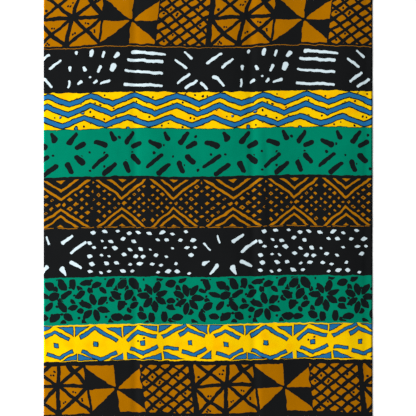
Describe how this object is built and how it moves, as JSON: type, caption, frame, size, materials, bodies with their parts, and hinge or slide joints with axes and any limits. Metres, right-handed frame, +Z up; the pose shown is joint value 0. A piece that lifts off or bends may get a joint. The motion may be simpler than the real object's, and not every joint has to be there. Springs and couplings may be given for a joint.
{
  "type": "wax print fabric",
  "caption": "Flat length of printed cotton cloth with soft pressed folds, laid face up on a surface.",
  "frame": {"origin": "middle of the flat underside, on the surface that the cloth lies on", "axes": "+X along the length cut off the roll, +Y across the loom width from one selvedge to the other, +Z up out of the printed face"},
  "size_m": [0.9144, 1.1684, 0.0039],
  "materials": {
    "printed_cotton": "calendered plain-weave cotton, printed on both sides in black, brown, yellow, green, blue and white bands"
  },
  "bodies": {
    "root": {"cloth_length": "printed_cotton"}
  },
  "joints": []
}
